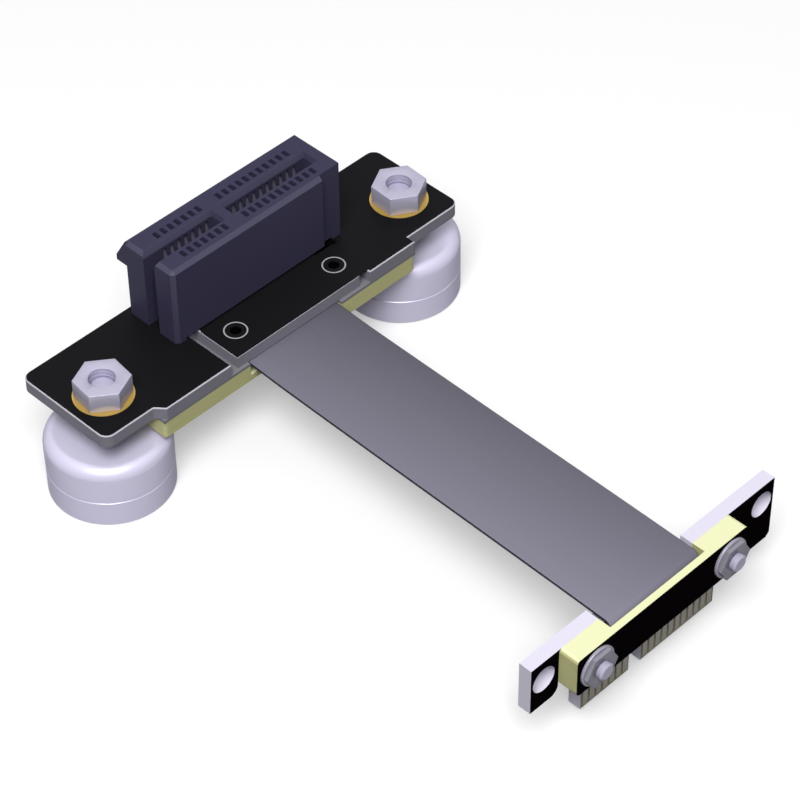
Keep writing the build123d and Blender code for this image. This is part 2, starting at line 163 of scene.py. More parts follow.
def half_width(low, high):
    """Half of a box's width along X, which is the radius of a round piece."""
    return (high[0] - low[0]) / 2


def middle_of(low, high):
    """X, Y and Z of a box's middle."""
    return [(a + b) / 2 for a, b in zip(low, high)]


print("cells of a grid of 3 by 4 points:", len(grid_faces(3, 4)))

# %% [markdown]
# ## Nickel plate
#
# The nuts, studs, spacers, screws and magnet cups are steel with barrel nickel plate, and the magnets have
# the same skin. Nickel is a warm grey metal, but under cool studio light it reads as a lavender silver.
# The lamps here are white, so that lavender is painted light in the colours.
# A full metal mirrors what stands round it, and this stage is white all round, so it would turn white as
# well. The plate is dull, so here it is only about a fifth metallic and scatters the rest, with a dark
# tint where it is seen at a glance. Barrel plating is a little uneven, so a fine noise moves the
# roughness. The grain of such plate is too fine to show, and is drawn at 0.15 mm.

# %% Nickel
NICKEL_GRAIN = 0.15 * MM


def uneven_roughness(tree, shader, roughness, spread, detail):
    """Roughness that a fine noise moves by up to the spread either way."""
    place = add_node(tree, "ShaderNodeTexCoord").outputs["Object"]
    grain = add_node(tree, "ShaderNodeTexNoise", {
        "Vector": place, "Scale": 1 / NICKEL_GRAIN, "Detail": detail})
    rough = add_node(tree, "ShaderNodeMapRange", {
        "Value": grain.outputs["Fac"], "To Min": roughness - spread, "To Max": roughness + spread})
    tree.links.new(rough.outputs["Result"], shader.inputs["Roughness"])


def nickel(name, colour, roughness, metallic=0.2):
    """Dull plate: the colour mostly scattered, with a slightly uneven roughness."""
    material, tree, shader = new_finish(name, Base_Color=from_hex(colour), Metallic=metallic,
                                        Specular_Tint=from_hex("#6B6A78"), Specular_IOR_Level=0.05)
    uneven_roughness(tree, shader, roughness, spread=0.05, detail=3.0)
    return material


# The same plate in four greys, palest on the magnets and darkest on the thin nuts and spacers.
bright_nickel = nickel("bright_nickel", "#B8B5C9", 0.3)
satin_nickel = nickel("satin_nickel", "#D8D4EB", 0.36, 0.22)
washer_nickel = nickel("washer_nickel", "#A5A3AF", 0.3)
darkest_nickel = nickel("darkest_nickel", "#8E8C97", 0.3)
print("nickel grain, mm:", NICKEL_GRAIN / MM)

# %% [markdown]
# ## Magnets
#
# Each foot is a disc magnet under a pressed steel cup with a full round shoulder. Seen from above the
# shoulder carries the brightest light on the whole object, and its evenness is what makes it look turned.
# A cylinder with a Bevel modifier would come close, but a profile carried round an axis puts the shoulder
# and the seam exactly where they are wanted. A small bevel on the magnet's two edges catches the light
# and draws the seam.

# %% Cups and magnets
SHOULDER = 1.4 * MM
SHOULDER_STEPS = 16
SEAM_BEVEL = 0.18 * MM
for side in ("left", "right"):
    low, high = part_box(f"{side}_magnet_cup")
    radius = half_width(low, high)
    centre = (*middle_of(low, high)[:2], 0)
    cup = [(0, high[2])]
    cup += arc((radius - SHOULDER, high[2] - SHOULDER), SHOULDER, 90, 0, steps=SHOULDER_STEPS)
    cup += [(radius, low[2]), (0, low[2])]
    piece = turned(f"{side}_cup_shell", cup, centre, satin_nickel)
    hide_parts(f"{side}_magnet_cup")
    low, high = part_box(f"{side}_magnet")
    disc = [(0, high[2]), (radius - SEAM_BEVEL, high[2]), (radius, high[2] - SEAM_BEVEL),
            (radius, low[2] + SEAM_BEVEL), (radius - SEAM_BEVEL, low[2]), (0, low[2])]
    piece = turned(f"{side}_magnet_disc", disc, centre, satin_nickel)
    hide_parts(f"{side}_magnet")
print("magnet radius, mm:", round(radius / MM, 2))

# %% [markdown]
# ## Nuts
#
# A nut is a hexagon with a threaded hole. It could be a prism with the hole cut by a Boolean modifier, but
# a formula gives even faces and a real helix. In it the distance of the wall from the axis is half the
# width across flats divided by the cosine of the angle from the nearest flat's middle. The edges are
# only broken by the plating, so a quarter circle of 0.07 mm rounds them. The hole's wall is a helix: its
# radius rises and falls once for each pitch of height, and the wave goes up by one pitch in a turn. The
# wave is a tenth of the pitch deep, far less than a real thread, because the stud fills most of the hole.
# Each nut stops where it is tight, so the two stand at different turns.

# %% Hexagon nuts with threads
NUT_EDGE = 0.07 * MM
THREAD_DEPTH = 0.1
SIDE_STEPS, EDGE_STEPS, STEPS_PER_PITCH = 16, 4, 8


def hexagon_nut(name, centre, across, height, hole, pitch, turn, finish, front=False):
    """Closed grid of angles by stations, the stations going down outside and up the hole.

    Outside: r = hexagon(a) - rounding(h). Inside: r = hole - depth (1 - wave((h - pitch a / 360) / pitch)).
    """
    start = np.radians(turn)
    angle = start + np.linspace(0, 2 * np.pi, 6 * SIDE_STEPS, endpoint=False)
    hexagon = across / 2 / np.cos((angle - start) % (np.pi / 3) - np.pi / 6)
    bend = np.radians(np.linspace(90, 0, EDGE_STEPS))
    outside = np.concatenate([height - NUT_EDGE + NUT_EDGE * np.sin(bend),
                              NUT_EDGE - NUT_EDGE * np.sin(bend[::-1])])
    inset = np.concatenate([NUT_EDGE - NUT_EDGE * np.cos(bend), NUT_EDGE - NUT_EDGE * np.cos(bend[::-1])])
    outer = hexagon[None, :] - inset[:, None]
    inside = np.linspace(0, height - NUT_EDGE, int(np.ceil(height / pitch * STEPS_PER_PITCH)))
    wave = np.abs(((inside[:, None] - pitch * angle[None, :] / (2 * np.pi)) / pitch) % 1 * 2 - 1)
    depth = THREAD_DEPTH * pitch
    inner = hole - depth + depth * wave
    rim = np.full((1, len(angle)), hole + NUT_EDGE)
    heights = np.concatenate([outside, inside, [height]])
    points = around_axis(np.vstack([outer, inner, rim]), heights, angle)
    faces = grid_faces(len(heights), len(angle), wrap_rows=True, wrap_columns=True)
    points = to_front(points) if front else points
    return piece_from(name, points + np.array(centre), faces, finish, crease=40)


NUT_ACROSS_FLATS = 5.5 * MM
NUT_PITCH = 0.5 * MM
NUT_TURN = {"left": 23.0, "right": 27.0}
STUD_CHAMFER = 0.25 * MM
for side in ("left", "right"):
    low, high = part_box(f"{side}_stud")
    hole = half_width(low, high)
    x, y = middle_of(low, high)[:2]
    nut_low, nut_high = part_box(f"{side}_nut")
    piece = hexagon_nut(f"{side}_hexagon_nut", (x, y, nut_low[2]), NUT_ACROSS_FLATS,
                        nut_high[2] - nut_low[2], hole, NUT_PITCH, NUT_TURN[side], bright_nickel)
    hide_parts(f"{side}_nut")
    stud = [(0, high[2]), (hole - STUD_CHAMFER, high[2]), (hole, high[2] - STUD_CHAMFER),
            (hole, low[2]), (0, low[2])]
    piece = turned(f"{side}_threaded_stud", stud, (x, y, 0), bright_nickel, around=64)
    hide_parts(f"{side}_stud")
print("nut corner radius, mm:", round(NUT_ACROSS_FLATS / 2 / np.cos(np.pi / 6) / MM, 3))

# %% [markdown]
# ## Fasteners of the plug
#
# Two small screws come through the block from behind, each with a washer and a thin nut. The washer is
# stamped, so its face is slightly rounded at the rim, which is what draws the bright line round it. They
# are turned profiles and hexagons like those before, only pointed to the front.

# %% Screws, washers and thin nuts
SMALL_NUT_ACROSS_FLATS = 4.0 * MM
SCREW_PITCH = 0.4 * MM
SCREW_RADIUS = 1.0 * MM
SCREW_CHAMFER = 0.2 * MM
HEAD_CHAMFER = 0.15 * MM
WASHER_ROUND = 0.15 * MM
BOARD_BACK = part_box("plug_board")[1][1]
for side in ("left", "right"):
    low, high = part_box(f"{side}_screw")
    head = half_width(low, high)
    x, z = middle_of(low, high)[::2]
    screw = [(0, -low[1]), (SCREW_RADIUS - SCREW_CHAMFER, -low[1]), (SCREW_RADIUS, -low[1] - SCREW_CHAMFER),
             (SCREW_RADIUS, -BOARD_BACK), (head, -BOARD_BACK), (head, -high[1] + HEAD_CHAMFER),
             (head - HEAD_CHAMFER, -high[1]), (0, -high[1])]
    piece = turned(f"{side}_small_screw", screw, (x, 0, z), bright_nickel, around=64, front=True)
    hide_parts(f"{side}_screw")
    low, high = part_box(f"{side}_washer")
    outer = half_width(low, high)
    washer = [(SCREW_RADIUS, -low[1])]
    washer += arc((outer - WASHER_ROUND, -low[1] - WASHER_ROUND), WASHER_ROUND, 90, 0, steps=6)
    washer += [(outer, -high[1]), (SCREW_RADIUS, -high[1])]
    piece = turned(f"{side}_stamped_washer", washer, (x, 0, z), washer_nickel, around=96, front=True)
    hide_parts(f"{side}_washer")
    low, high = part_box(f"{side}_screw_nut")
    piece = hexagon_nut(f"{side}_thin_nut", (x, high[1], z), SMALL_NUT_ACROSS_FLATS, high[1] - low[1],
                        SCREW_RADIUS, SCREW_PITCH, 0.0, darkest_nickel, front=True)
    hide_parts(f"{side}_screw_nut")
print("washer radius, mm:", round(outer / MM, 2))

# %% [markdown]
# ## Ribbon
#
# The ribbon is a row of fine wires bonded side by side in grey vinyl: 0.35 mm thick, with 26 wires half a
# millimetre apart. It leaves the clamp level, rises gently, and folds down just behind the plug's cover.
# A curve with a bevel would give the shape, but its grooves and its UV map are easier on a grid. The
# middle line is worked out from the heights of the two boards. The rise is nearly straight, as a stiff
# strip takes it, with a quarter of a smooth step mixed in to ease both its ends.

# %% The ribbon's line
RIBBON_WIDTH = 13.4 * MM
RIBBON_THICKNESS = 0.35 * MM
BELOW_BOARD = 0.15 * MM
LEVEL_RUN = 4.5 * MM
EASE = 0.25
FOLD = 0.8 * MM
RUN_STEPS, FOLD_STEPS = 90, 8
ribbon_low, ribbon_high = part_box("ribbon_cable")
board_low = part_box("slot_board")[0]
slot_height = board_low[2] - BELOW_BOARD - RIBBON_THICKNESS / 2
plug_height = ribbon_high[2] - RIBBON_THICKNESS / 2
fold_y = ribbon_low[1] + RIBBON_THICKNESS / 2


def ribbon_line():
    """Y and Z of the middle line, with t from 0 to 1 over the rise and e the share of easing.

    z = z0 + (z1 - z0)((1 - e) t + e (3t^2 - 2t^3)), then a quarter circle and a straight drop.
    """
    rise_from, rise_to = board_low[1] - LEVEL_RUN, fold_y + FOLD
    y = np.linspace(ribbon_high[1], rise_to, RUN_STEPS)
    t = np.clip((rise_from - y) / (rise_from - rise_to), 0, 1)
    z = slot_height + (plug_height - slot_height) * ((1 - EASE) * t + EASE * (3 * t ** 2 - 2 * t ** 3))
    turn = np.linspace(0, np.pi / 2, FOLD_STEPS + 1)[1:]
    fold = np.stack([rise_to - FOLD * np.sin(turn), plug_height - FOLD + FOLD * np.cos(turn)], axis=1)
    return np.vstack([np.stack([y, z], axis=1), fold, [[fold_y, ribbon_low[2]]]])


line = ribbon_line()
run = np.concatenate([[0], np.cumsum(np.hypot(*np.diff(line, axis=0).T))])
print("ribbon length, mm:", round(run[-1] / MM, 1))

# %% [markdown]
# The section is a flat strip with rounded side edges and a shallow groove between wires, about eight
# points for each wire. The groove is only a hundredth of a millimetre deep, so it shows as fine lines
# where the light grazes the ribbon. The section is carried along the line, square to it, and drifts to
# one side on the way, because the plug sits a little to the left of the slot.

# %% The ribbon's surface
X_AT_SLOT = -0.2 * MM
X_AT_PLUG = -2.15 * MM
WIRES = 26
WIRE_PITCH = 0.5 * MM
GROOVE = 0.01 * MM
SECTION_POINTS = 211
EDGE_ROUNDING = 0.96
PLUG_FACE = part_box("plug_board")[0][1]


def ribbon_section():
    """Offsets x across and h through the strip, once round it.

    h = half thickness less GROOVE (1 - sqrt|sin(pi x / pitch)|), and near each side edge times
    sqrt(1 - 0.96 (1 - s)^2), with s the distance from the edge as a share of half the thickness.
    """
    across = np.linspace(-RIBBON_WIDTH / 2, RIBBON_WIDTH / 2, SECTION_POINTS)
    half = RIBBON_THICKNESS / 2 - GROOVE * (1 - np.sqrt(np.abs(np.sin(np.pi * (across / WIRE_PITCH)))))
    edge = np.clip((RIBBON_WIDTH / 2 - np.abs(across)) / (RIBBON_THICKNESS / 2), 0, 1)
    half = half * np.sqrt(1 - (1 - edge) ** 2 * EDGE_ROUNDING)
    return np.concatenate([across, across[::-1]]), np.concatenate([half, -half[::-1]])


def ribbon_surface(name, finish):
    """Point = line(s) + across * x + through * normal(s), the normal being the line's direction turned up."""
    across, through = ribbon_section()
    ahead = np.gradient(line, axis=0)
    ahead /= np.linalg.norm(ahead, axis=1)[:, None]
    up = np.stack([ahead[:, 1], -ahead[:, 0]], axis=1)
    slope = (X_AT_PLUG - X_AT_SLOT) / (board_low[1] - PLUG_FACE)
    middle_x = X_AT_SLOT + slope * (board_low[1] - line[:, 0])
    x = middle_x[:, None] + across[None, :]
    y = line[:, 0:1] + up[:, 0:1] * through[None, :]
    z = line[:, 1:2] + up[:, 1:2] * through[None, :]
    points = np.stack([x, y, z], axis=-1)
    rows, columns = points.shape[:2]
    faces = grid_faces(rows, columns, wrap_columns=True)
    first, last = list(range(columns)), list(range((rows - 1) * columns, rows * columns))
    piece = piece_from(name, points.reshape(-1, 3), faces + [first, last[::-1]], finish, crease=60)
    layer = piece.data.uv_layers.new(name="UVMap")
    corner = np.empty(len(piece.data.loops), dtype=np.int32)
    piece.data.loops.foreach_get("vertex_index", corner)
    flat = np.stack([np.repeat(run[:, None] / run[-1], columns, axis=1),
                     np.repeat(across[None, :] / RIBBON_WIDTH + 0.5, rows, axis=0)], axis=-1)
    layer.data.foreach_set("uv", flat.reshape(-1, 2)[corner].ravel())
    return piece


print("points round the section:", len(ribbon_section()[0]))

# %% [markdown]
# The vinyl is extruded soft plastic with a dull sheen. The UV map runs from 0 to 1 along the ribbon and
# from 0 to 1 across it, so every change of colour follows the bend at the plug. The strip is painted paler
# towards its left edge and towards the plug, which is painted light. Extrusion leaves faint long streaks,
# each about as wide as a wire. At the two side edges a thin dark band is painted shade.

# %% Grey vinyl
PAINTED_LIGHT_LEFT, PAINTED_LIGHT_AT_PLUG = 0.62, 0.38
STREAK, STREAKS_ALONG = 0.04, 2.0
EDGE_SHADE_FROM_MIDDLE = 0.492


def grey_vinyl():
    """Vinyl from dark to pale by painted light = 0.38 u + 0.62 (1 - v) + streaks, with painted shade at both
    side edges.
    """
    material, tree, shader = new_finish("grey_vinyl", Roughness=0.5, Specular_IOR_Level=0.1)
    uv = add_node(tree, "ShaderNodeUVMap", uv_map="UVMap").outputs["UV"]
    flat = add_node(tree, "ShaderNodeSeparateXYZ", {"Vector": uv})
    # Painted light: paler towards the left edge (v = 0) and towards the plug (u = 1).
    light_towards_left = add_node(tree, "ShaderNodeMapRange", {
        "Value": flat.outputs["Y"], "To Min": PAINTED_LIGHT_LEFT, "To Max": 0.0})
    painted_light_amount = add_node(tree, "ShaderNodeMath", {
        0: flat.outputs["X"], 1: PAINTED_LIGHT_AT_PLUG, 2: light_towards_left.outputs["Result"]}, operation="MULTIPLY_ADD")
    stretched = add_node(tree, "ShaderNodeMapping", {
        "Vector": uv, "Scale": (STREAKS_ALONG, float(WIRES), 1.0)})
    streaks = add_node(tree, "ShaderNodeTexNoise", {
        "Vector": stretched.outputs["Vector"], "Scale": 1.0, "Detail": 2.0})
    uneven = add_node(tree, "ShaderNodeMapRange", {
        "Value": streaks.outputs["Fac"], "To Min": -STREAK, "To Max": STREAK})
    amount = add_node(tree, "ShaderNodeMath", {
        0: painted_light_amount.outputs["Value"], 1: uneven.outputs["Result"]}, operation="ADD")
    colour = add_node(tree, "ShaderNodeMix", {
        "Factor": amount.outputs["Value"], "A": from_hex("#585660"), "B": from_hex("#858391")},
        data_type="RGBA")
    # Painted shade: a thin dark band along both side edges.
    from_middle = add_node(tree, "ShaderNodeMath", {0: flat.outputs["Y"], 1: 0.5}, operation="SUBTRACT")
    distance = add_node(tree, "ShaderNodeMath", {0: from_middle.outputs["Value"]}, operation="ABSOLUTE")
    edge_shade = add_node(tree, "ShaderNodeMath", {
        0: distance.outputs["Value"], 1: EDGE_SHADE_FROM_MIDDLE}, operation="GREATER_THAN")
    with_edge_shade = add_node(tree, "ShaderNodeMix", {
        "Factor": edge_shade.outputs["Value"], "A": colour.outputs["Result"], "B": from_hex("#2B2932")},
        data_type="RGBA")
    tree.links.new(with_edge_shade.outputs["Result"], shader.inputs["Base Color"])
    return material


ribbon = ribbon_surface("flat_ribbon", grey_vinyl())
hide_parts("ribbon_cable")
print("ribbon faces:", len(ribbon.data.polygons))

# %% [markdown]
# ## Black boards with bare edges
#
# A printed board is glass laminate with a black solder mask on its two faces. The router cuts through the
# mask, so the edge shows bare laminate, which is a pale grey here. Two materials on chosen faces would do,
# but one finish can tell them by itself from which way the surface faces: black where that is along the
# board's thickness and pale elsewhere. On the slot board a bevel is paler still, as a painted
# highlight.


# %% Masks on boards
def place_along(tree, axis):
    """Where the point of the surface lies along the axis."""
    place = add_node(tree, "ShaderNodeTexCoord").outputs["Object"]
    return add_node(tree, "ShaderNodeSeparateXYZ", {"Vector": place}).outputs[axis]


def faces_along(tree, axis, limit):
    """1 where the surface faces along the axis, either way, by more than the limit, and 0 elsewhere."""
    normal = add_node(tree, "ShaderNodeTexCoord").outputs["Normal"]
    facing = add_node(tree, "ShaderNodeSeparateXYZ", {"Vector": normal})
    amount = add_node(tree, "ShaderNodeMath", {0: facing.outputs[axis]}, operation="ABSOLUTE")
    return add_node(tree, "ShaderNodeMath", {
        0: amount.outputs["Value"], 1: limit}, operation="GREATER_THAN").outputs["Value"]


FACE_LIMIT, BEVEL_LIMIT = 0.9, 0.4


def masked_board(name, axis, mask_hex, edge_hex, bevel_highlight_hex, sheen):
    """Mask colour on the faces, edge colour on the cut sides and a bevel colour between them, a painted
    highlight where it is paler.
    """
    material, tree, shader = new_finish(name, Roughness=0.45, Specular_IOR_Level=sheen)
    side = add_node(tree, "ShaderNodeMix", {
        "Factor": faces_along(tree, axis, BEVEL_LIMIT), "A": from_hex(edge_hex), "B": from_hex(bevel_highlight_hex)},
        data_type="RGBA")
    colour = add_node(tree, "ShaderNodeMix", {
        "Factor": faces_along(tree, axis, FACE_LIMIT), "A": side.outputs["Result"],
        "B": from_hex(mask_hex)}, data_type="RGBA")
    tree.links.new(colour.outputs["Result"], shader.inputs["Base Color"])
    return material, tree, shader, colour.outputs["Result"]


print("a bevel turns from its face by degrees:", round(np.degrees(np.arccos(FACE_LIMIT))), "or more")

# %% [markdown]
# The walls of the slot board's two small tongue holes are near black, and so is the end of the slot that
# the film bridges: this is painted shade, where little light gets down the holes and under the film. The
# film is thin black plastic with a dull face and a pale ring printed round each hole. The two holes lie
# symmetrically about a point, so folding the plane there with an absolute value gives the distance from
# the nearer one in a single chain of nodes.

# %% Slot board and film
HOLE_MIDDLE = (1.7 * MM, 23.85 * MM)
HOLE_HALF_APART = 7.4 * MM
HOLE_RADIUS = 0.65 * MM
HOLE_SHADE_MARGIN = 0.1 * MM
SLOT_END_X, SLOT_END_Y = 10.5 * MM, 28.0 * MM
SLOT_END_REACH = 1.6 * MM
RING_INNER, RING_OUTER = 1.2 * MM, 1.36 * MM


def distance_from_pair(tree):
    """Distance in the plane from the nearer of the two holes: |(|x - mx| - half apart, y - my)|."""
    place = add_node(tree, "ShaderNodeTexCoord").outputs["Object"]
    offset = add_node(tree, "ShaderNodeVectorMath", {0: place, 1: (*HOLE_MIDDLE, 0.0)}, operation="SUBTRACT")
    folded = add_node(tree, "ShaderNodeVectorMath", {0: offset.outputs["Vector"]}, operation="ABSOLUTE")
    moved = add_node(tree, "ShaderNodeVectorMath", {
        0: folded.outputs["Vector"], 1: (HOLE_HALF_APART, 0.0, 0.0)}, operation="SUBTRACT")
    flat = add_node(tree, "ShaderNodeVectorMath", {
        0: moved.outputs["Vector"], 1: (1.0, 1.0, 0.0)}, operation="MULTIPLY")
    length = add_node(tree, "ShaderNodeVectorMath", {0: flat.outputs["Vector"]}, operation="LENGTH")
    return length.outputs["Value"]


def slot_board_mask():
    """The board's mask, with painted shade near black on the holes' walls and the bridged slot's end."""
    # Painted highlight: the bevel's paler grey, #BDBBC4, above the edge's #85838D.
    material, tree, shader, masked = masked_board(
        "black_solder_mask", "Z", "#151517", "#85838D", "#BDBBC4", sheen=0.03)
    # Painted shade: near black on the holes' walls and on the slot's end that the film bridges.
    near_hole = add_node(tree, "ShaderNodeMath", {
        0: distance_from_pair(tree), 1: HOLE_RADIUS + HOLE_SHADE_MARGIN}, operation="LESS_THAN")
    beside = add_node(tree, "ShaderNodeMath", {
        0: place_along(tree, "X"), 1: SLOT_END_X, 2: SLOT_END_REACH}, operation="COMPARE")
    behind = add_node(tree, "ShaderNodeMath", {
        0: place_along(tree, "Y"), 1: SLOT_END_Y, 2: SLOT_END_REACH}, operation="COMPARE")
    slot_end = add_node(tree, "ShaderNodeMath", {
        0: beside.outputs["Value"], 1: behind.outputs["Value"]}, operation="MULTIPLY")
    dark = add_node(tree, "ShaderNodeMath", {
        0: near_hole.outputs["Value"], 1: slot_end.outputs["Value"]}, operation="MAXIMUM")
    with_painted_shade = add_node(tree, "ShaderNodeMix", {
        "Factor": dark.outputs["Value"], "A": masked, "B": from_hex("#050506")}, data_type="RGBA")
    tree.links.new(with_painted_shade.outputs["Result"], shader.inputs["Base Color"])
    return material


def printed_film():
    """Black film, pale where the distance from the nearer hole lies between the ring's two radii."""
    material, tree, shader = new_finish("black_film", Roughness=0.5, Specular_IOR_Level=0.03)
    ring = add_node(tree, "ShaderNodeMath", {
        0: distance_from_pair(tree), 1: (RING_INNER + RING_OUTER) / 2,
        2: (RING_OUTER - RING_INNER) / 2}, operation="COMPARE")
    printed = add_node(tree, "ShaderNodeMix", {
        "Factor": ring.outputs["Value"], "A": from_hex("#161618"), "B": from_hex("#A8A8A8")},
        data_type="RGBA")
    tree.links.new(printed.outputs["Result"], shader.inputs["Base Color"])
    return material


print("printed ring's width, mm:", round((RING_OUTER - RING_INNER) / MM, 2))

# %% [markdown]
# On the plug's board the tab is left without mask, so that its plated fingers can touch the slot's
# contacts, and shows olive laminate between them. The mask stops at the lower edge of the block's spacer.

# %% Plug board
TAB_MARGIN = 1.0 * MM
BARE_LIMIT = 0.5
MASK_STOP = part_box("plug_spacer")[0][2]
tab_low, tab_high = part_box("tab_fingers_front")


def plug_board_mask():
    """The board's mask, with bare laminate on the tab's faces below the stop line."""
    material, tree, shader, masked = masked_board(
        "plug_solder_mask", "Y", "#0D090C", "#DEDAEA", "#DEDAEA", sheen=0.0)
    below = add_node(tree, "ShaderNodeMath", {
        0: place_along(tree, "Z"), 1: MASK_STOP}, operation="LESS_THAN")
    on_tab = add_node(tree, "ShaderNodeMath", {
        0: place_along(tree, "X"), 1: middle_of(tab_low, tab_high)[0],
        2: half_width(tab_low, tab_high) + TAB_MARGIN}, operation="COMPARE")
    bare = add_node(tree, "ShaderNodeMath", {
        0: below.outputs["Value"], 1: on_tab.outputs["Value"]}, operation="MULTIPLY")
    bare_face = add_node(tree, "ShaderNodeMath", {
        0: bare.outputs["Value"], 1: faces_along(tree, "Y", BARE_LIMIT)}, operation="MULTIPLY")
    tab_colour = add_node(tree, "ShaderNodeMix", {
        "Factor": bare_face.outputs["Value"], "A": masked, "B": from_hex("#A09E80")}, data_type="RGBA")
    tree.links.new(tab_colour.outputs["Result"], shader.inputs["Base Color"])
    return material


print("mask stops at height, mm:", round(MASK_STOP / MM, 2))

# %% [markdown]
# ## Yellow laminate
#
# The clamp, the block's spacer and its cover are epoxy-glass laminate without copper, which is a pale
# yellow. Its cut sides are painted a darker olive as shade, with the faint lines of its glass layers,
# drawn 0.2 mm apart and 5 mm long. The cover's front alone is black, down to a tenth of a millimetre. The
# thin sheet between the slot board and the clamp is drawn as laminate too, in a dull grey like the
# board's own cut edge.

# %% Laminate
LAYER_PITCH = 0.2 * MM
FIBRE_LENGTH = 5.0 * MM
FLAT_LIMIT = 0.7
BLACK_LAYER = 0.1 * MM
COVER_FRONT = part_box("plug_cover")[0][1]


def laminate_with_shaded_sides(tree):
    """Pale yellow on what faces up or down, and a darker olive painted as shade on the cut sides, with fine
    layers.
    """
    place = add_node(tree, "ShaderNodeTexCoord").outputs["Object"]
    layers = add_node(tree, "ShaderNodeMapping", {
        "Vector": place, "Scale": (1 / FIBRE_LENGTH, 1 / FIBRE_LENGTH, 1 / LAYER_PITCH)})
    fibre = add_node(tree, "ShaderNodeTexNoise", {
        "Vector": layers.outputs["Vector"], "Scale": 1.0, "Detail": 2.0})
    # Painted shade: the cut sides get a darker olive than the faces; the fibre noise is the glass layers.
    side = add_node(tree, "ShaderNodeMix", {
        "Factor": fibre.outputs["Fac"], "A": from_hex("#BDBC84"), "B": from_hex("#CFCE98")},
        data_type="RGBA")
    return add_node(tree, "ShaderNodeMix", {
        "Factor": faces_along(tree, "Z", FLAT_LIMIT), "A": side.outputs["Result"],
        "B": from_hex("#E8EABC")}, data_type="RGBA").outputs["Result"]


def yellow_laminate():
    """Bare laminate on every side."""
    material, tree, shader = new_finish("yellow_laminate", Roughness=0.5, Specular_IOR_Level=0.1)
    tree.links.new(laminate_with_shaded_sides(tree), shader.inputs["Base Color"])
    return material


def black_faced_laminate():
    """Bare laminate behind a thin black layer at the cover's front."""
    material, tree, shader = new_finish("cover_laminate", Roughness=0.5, Specular_IOR_Level=0.0)
    front_layer = add_node(tree, "ShaderNodeMath", {
        0: place_along(tree, "Y"), 1: COVER_FRONT + BLACK_LAYER}, operation="LESS_THAN")
    colour = add_node(tree, "ShaderNodeMix", {
        "Factor": front_layer.outputs["Value"], "A": laminate_with_shaded_sides(tree), "B": from_hex("#0D090C")},
        data_type="RGBA")
    tree.links.new(colour.outputs["Result"], shader.inputs["Base Color"])
    return material


laminate = yellow_laminate()
grey_laminate = new_finish("bare_laminate", Base_Color=from_hex("#7E7C84"), Roughness=0.5,
                           Specular_IOR_Level=0.05)[0]
print("black layer, mm:", BLACK_LAYER / MM)

# %% [markdown]
# ## Housing
#
# The housing is moulded nylon in a very dark blue. The mould is spark eroded, which leaves a fine even
# grain of about 0.1 mm that keeps it from shining. Its bevelled rims and the sloped mouth of the slot are
# polished in the mould and by every card, so they are glossier. They are told from the rest by the sum of
# the normal's three parts without their signs, which is 1 on a face square to the axes and more on any
# oblique one.

# %% Moulded nylon
NYLON_GRAIN = 0.1 * MM
GRAIN_DEPTH = 0.01 * MM
RIM_ROUND = 0.08 * MM
OBLIQUE = 1.1
DULL, GLOSSY = 0.05, 0.4


def moulded_nylon():
    """Grained nylon whose specular level is GLOSSY where |nx| + |ny| + |nz| passes OBLIQUE."""
    material, tree, shader = new_finish("moulded_nylon", Base_Color=from_hex("#3C3A50"), Roughness=0.5)
    coordinates = add_node(tree, "ShaderNodeTexCoord")
    grain = add_node(tree, "ShaderNodeTexNoise", {
        "Vector": coordinates.outputs["Object"], "Scale": 1 / NYLON_GRAIN, "Detail": 2.0})
    edges = add_node(tree, "ShaderNodeBevel", {"Radius": RIM_ROUND}, samples=4)
    bump = add_node(tree, "ShaderNodeBump", {
        "Height": grain.outputs["Fac"], "Strength": 0.2, "Distance": GRAIN_DEPTH,
        "Normal": edges.outputs["Normal"]})
    facing = add_node(tree, "ShaderNodeVectorMath", {0: coordinates.outputs["Normal"]}, operation="ABSOLUTE")
    total = add_node(tree, "ShaderNodeVectorMath", {
        0: facing.outputs["Vector"], 1: (1.0, 1.0, 1.0)}, operation="DOT_PRODUCT")
    sloped = add_node(tree, "ShaderNodeMath", {
        0: total.outputs["Value"], 1: OBLIQUE}, operation="GREATER_THAN")
    sheen = add_node(tree, "ShaderNodeMapRange", {
        "Value": sloped.outputs["Value"], "To Min": DULL, "To Max": GLOSSY})
    tree.links.new(sheen.outputs["Result"], shader.inputs["Specular IOR Level"])
    tree.links.new(bump.outputs["Normal"], shader.inputs["Normal"])
    return material


print("nylon grain, mm:", NYLON_GRAIN / MM)

# %% [markdown]
# ## Thin metals
#
# Contacts of this kind are stamped from a spring bronze and plated, and the ribbon's bared ends are tinned
# copper. Tin is a soft grey that dulls in air. Down in the slot little light reaches the contacts, and
# their colour is darkened here as well, as painted shade, so they show as dark lines; the wire ends share
# it. The rings on the slot board are copper under a thin wash of gold, which leaves them a matt yellow.
# The tab's fingers have a thin plating too, nearly grey. All of them are drawn a little more uneven than
# the nickel.


# %% Tin, gilt and the tab's plating
def thin_metal(name, colour, metallic, roughness):
    """A thin metal skin with a strongly uneven roughness."""
    material, tree, shader = new_finish(name, Base_Color=from_hex(colour), Metallic=metallic)
    uneven_roughness(tree, shader, roughness, spread=0.08, detail=2.0)
    return material


gilt = thin_metal("gilt_ring", "#C9A855", metallic=0.5, roughness=0.4)
# Painted shade: the tin's grey is darkened for the contacts down in the slot.
shaded_tin = thin_metal("tinned_spring", "#5E5C6A", metallic=0.3, roughness=0.45)
fingers = thin_metal("tab_plating", "#88827A", metallic=0.3, roughness=0.45)
print("gilt, linear red:", round(from_hex("#C9A855")[0], 2))

# %% [markdown]
# ## Finishes onto the frame
#
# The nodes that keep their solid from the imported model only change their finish, so a table of node and
# finish is all that they need. The turned spacers are the only nickel pieces among them.

